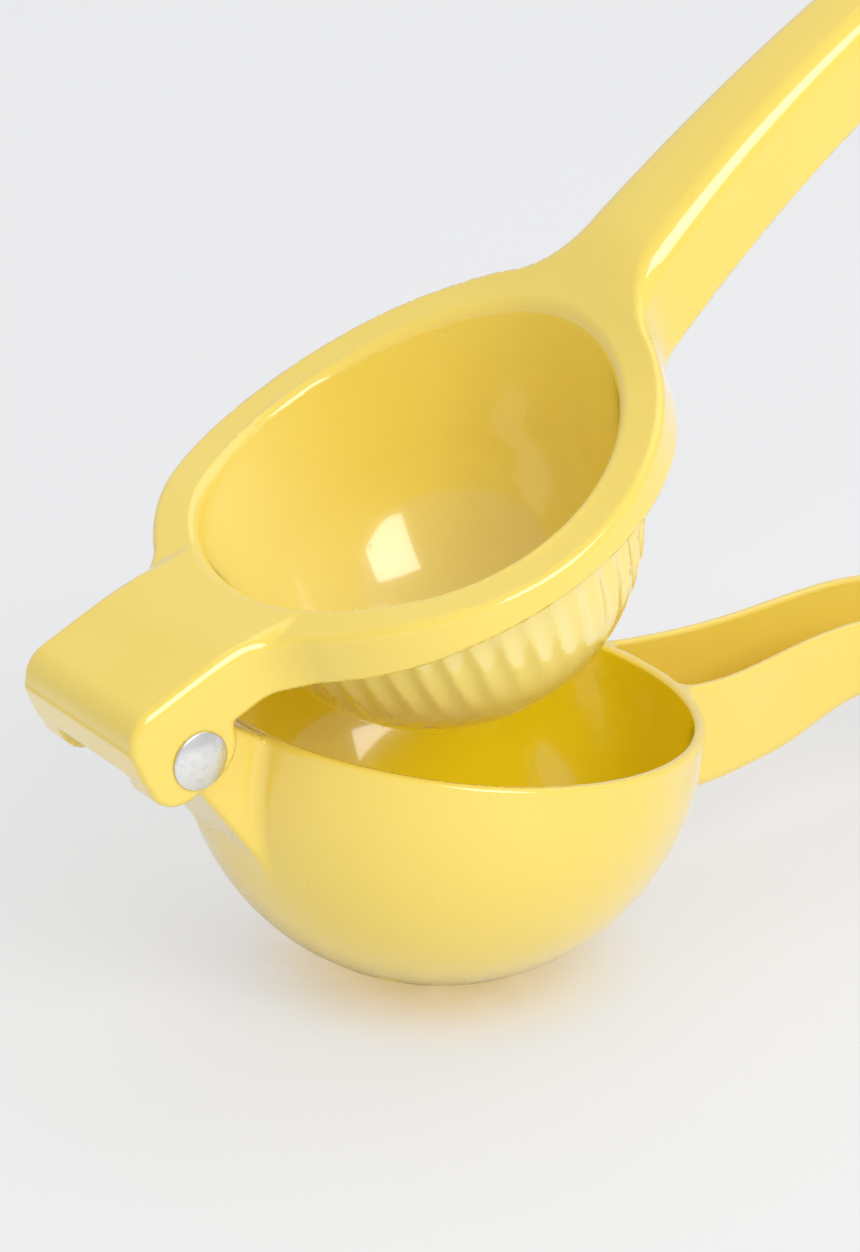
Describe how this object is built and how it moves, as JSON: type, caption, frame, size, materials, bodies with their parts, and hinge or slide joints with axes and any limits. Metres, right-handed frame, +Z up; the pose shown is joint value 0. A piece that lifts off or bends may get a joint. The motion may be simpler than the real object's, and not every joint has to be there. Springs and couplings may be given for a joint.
{
  "type": "hinged lemon squeezer",
  "caption": "Hand-held hinged citrus squeezer: a pierced bowl and a fluted press cup on two long channel handles, joined by a riveted hinge.",
  "frame": {"origin": "on the table under the middle of the squeezer's box, as it stands open on the bowl's round bottom and the lower handle's tip", "axes": "+Z up from the table, +X from the hinge towards the handles' tips, Y along the rivet"},
  "size_m": [0.219, 0.076, 0.1576],
  "materials": {
    "lower_enamel": "gloss",
    "upper_enamel": "gloss",
    "rivet_steel": "satin"
  },
  "bodies": {
    "lower": {"lower_arm": "lower_enamel"},
    "upper": {"upper_arm": "upper_enamel", "hinge_rivet": "rivet_steel"}
  },
  "joints": [
    {"name": "hinge", "type": "hinge", "parent": "lower", "child": "upper", "pos_m": [-0.09883, 0, 0.05202], "axis": [0, -1, 0], "range_deg": [-33.7, 87]}
  ]
}
